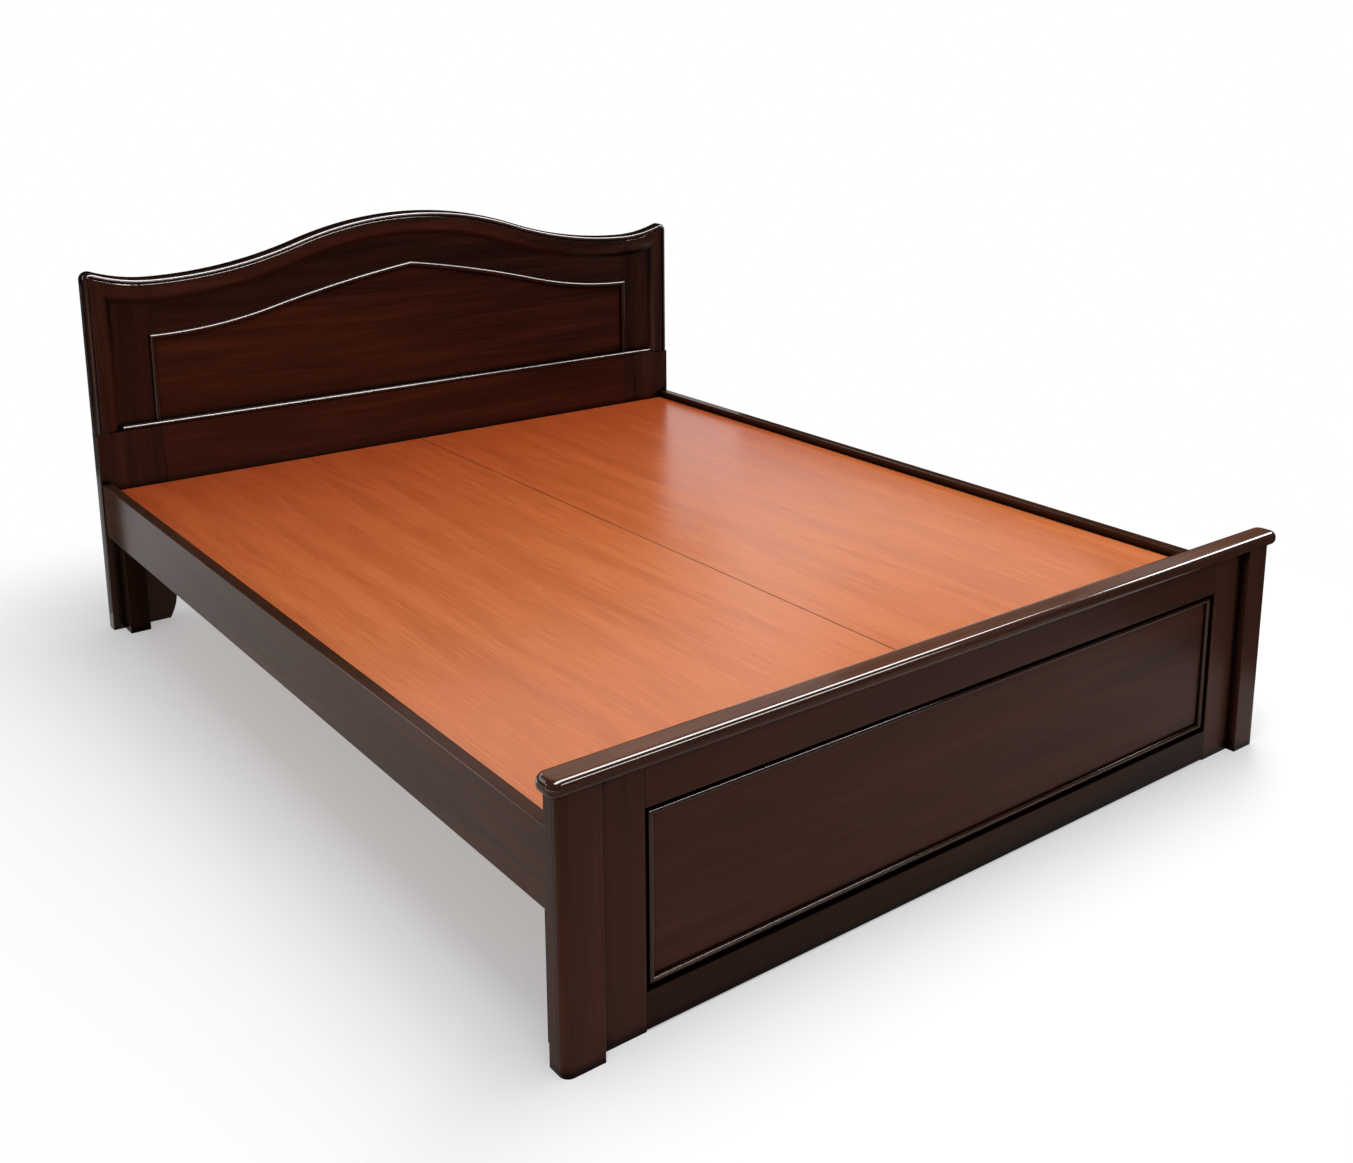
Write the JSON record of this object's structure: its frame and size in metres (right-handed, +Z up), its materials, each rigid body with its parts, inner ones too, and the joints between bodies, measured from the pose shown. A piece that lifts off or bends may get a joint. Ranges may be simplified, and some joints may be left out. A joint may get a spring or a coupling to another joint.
{
  "type": "wooden bed",
  "caption": "Dark stained wooden double bed: serpentine moulded headboard, panelled footboard with a rounded cap, plain side rails and loose plywood deck boards that lift out.",
  "frame": {"origin": "centre of the bed's plan box, on the floor", "axes": "+X to the right as seen from the foot, +Y from the foot to the head, +Z up"},
  "size_m": [1.612, 1.991, 0.918],
  "materials": {
    "dark_lacquered_wood": "dark walnut stain under gloss lacquer",
    "dark_lacquered_panel": "dark red-brown stain under gloss lacquer, grain across the bed",
    "deck_plywood": "satin orange-brown laminated plywood, grain along the bed",
    "support_timber": "planed softwood, unfinished",
    "beech_joinery": "plain beech",
    "bracket_steel": "black powder coat",
    "fastener_zinc": "bright zinc plate"
  },
  "bodies": {
    "frame": {"batten_1": "support_timber", "batten_2": "support_timber", "batten_3": "support_timber", "batten_4": "support_timber", "batten_5": "support_timber", "batten_6": "support_timber", "batten_7": "support_timber", "batten_screws": "fastener_zinc", "beam_saddle_foot": "bracket_steel", "beam_saddle_head": "bracket_steel", "bearer_screws": "fastener_zinc", "bed_bolt_washers": "fastener_zinc", "bed_bolts": "fastener_zinc", "centre_beam": "support_timber", "centre_leg": "support_timber", "cleat_screws": "fastener_zinc", "corner_block_foot_left": "dark_lacquered_wood", "corner_block_foot_right": "dark_lacquered_wood", "corner_block_head_left": "dark_lacquered_wood", "corner_block_head_right": "dark_lacquered_wood", "corner_block_screws": "fastener_zinc", "end_bearer_foot": "support_timber", "end_bearer_head": "support_timber", "footboard_bead_bottom": "dark_lacquered_wood", "footboard_bead_left": "dark_lacquered_wood", "footboard_bead_right": "dark_lacquered_wood", "footboard_bead_top": "dark_lacquered_wood", "footboard_block_left": "dark_lacquered_wood", "footboard_block_right": "dark_lacquered_wood", "footboard_bottom_rail": "dark_lacquered_wood", "footboard_cap": "dark_lacquered_wood", "footboard_cap_dowels": "beech_joinery", "footboard_panel": "dark_lacquered_wood", "footboard_stile_left": "dark_lacquered_wood", "footboard_stile_right": "dark_lacquered_wood", "footboard_top_rail": "dark_lacquered_wood", "headboard_bead_ledge": "dark_lacquered_wood", "headboard_bead_side_left": "dark_lacquered_wood", "headboard_bead_side_right": "dark_lacquered_wood", "headboard_bead_top_left": "dark_lacquered_wood", "headboard_bead_top_right": "dark_lacquered_wood", "headboard_crest_left": "dark_lacquered_wood", "headboard_crest_right": "dark_lacquered_wood", "headboard_crest_spline": "beech_joinery", "headboard_lower_rail": "dark_lacquered_wood", "headboard_panel": "dark_lacquered_panel", "headboard_stile_left": "dark_lacquered_wood", "headboard_stile_right": "dark_lacquered_wood", "rail_cleat_left": "support_timber", "rail_cleat_right": "support_timber", "saddle_screws": "fastener_zinc", "side_rail_left": "dark_lacquered_wood", "side_rail_right": "dark_lacquered_wood", "threaded_inserts": "fastener_zinc"},
    "deck_left": {"deck_board_left": "deck_plywood"},
    "deck_right": {"deck_board_right": "deck_plywood"}
  },
  "joints": [
    {"name": "deck_left_lift", "type": "slide", "parent": "frame", "child": "deck_left", "axis": [0, 0, 1], "range_m": [0, 0.3]},
    {"name": "deck_right_lift", "type": "slide", "parent": "frame", "child": "deck_right", "axis": [0, 0, 1], "range_m": [0, 0.3]}
  ]
}
